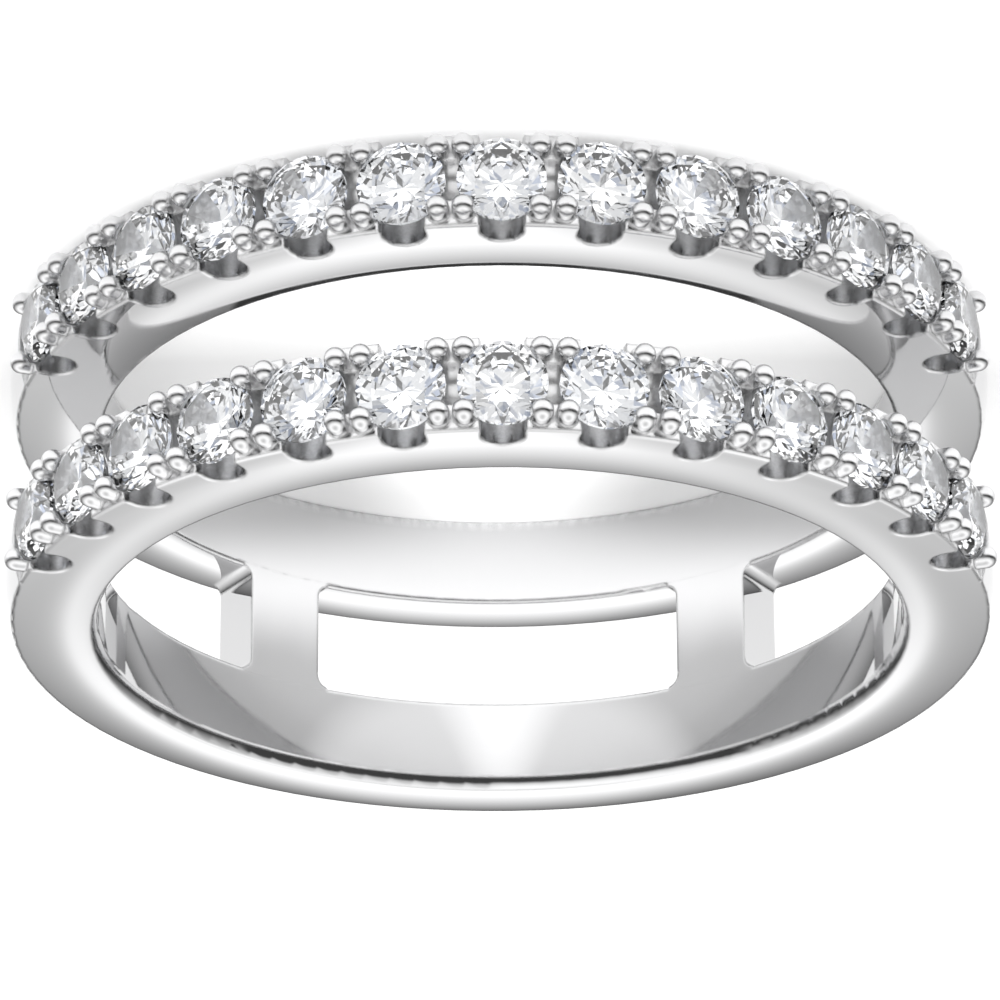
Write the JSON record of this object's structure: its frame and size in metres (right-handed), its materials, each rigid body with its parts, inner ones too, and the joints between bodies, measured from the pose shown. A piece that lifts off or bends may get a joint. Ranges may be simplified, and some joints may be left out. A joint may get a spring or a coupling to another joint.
{
  "type": "ring guard enhancer",
  "caption": "Ring guard enhancer: parallel bands with rows of round stones over the front half, joined by bridges at the back, with a slot between them that takes a solitaire ring.",
  "frame": {"origin": "centre of the finger hole: on its axis, halfway between the two outer sides", "axes": "+Z along the finger hole, away from the surface that the ring lies on; -Y from the axis to the middle of the stone rows; +X along the rows, to the right seen from the stones' side"},
  "size_m": [0.0214, 0.0213, 0.0068],
  "materials": {
    "polished_silver": "rhodium-plated sterling silver, mirror polished",
    "clear_stone": "clear colourless stone, cut as a round brilliant, polished"
  },
  "bodies": {
    "root": {"double_band": "polished_silver", "lower_stone_01": "clear_stone", "lower_stone_02": "clear_stone", "lower_stone_03": "clear_stone", "lower_stone_04": "clear_stone", "lower_stone_05": "clear_stone", "lower_stone_06": "clear_stone", "lower_stone_07": "clear_stone", "lower_stone_08": "clear_stone", "lower_stone_09": "clear_stone", "lower_stone_10": "clear_stone", "lower_stone_11": "clear_stone", "lower_stone_12": "clear_stone", "lower_stone_13": "clear_stone", "upper_stone_01": "clear_stone", "upper_stone_02": "clear_stone", "upper_stone_03": "clear_stone", "upper_stone_04": "clear_stone", "upper_stone_05": "clear_stone", "upper_stone_06": "clear_stone", "upper_stone_07": "clear_stone", "upper_stone_08": "clear_stone", "upper_stone_09": "clear_stone", "upper_stone_10": "clear_stone", "upper_stone_11": "clear_stone", "upper_stone_12": "clear_stone", "upper_stone_13": "clear_stone"}
  },
  "joints": []
}
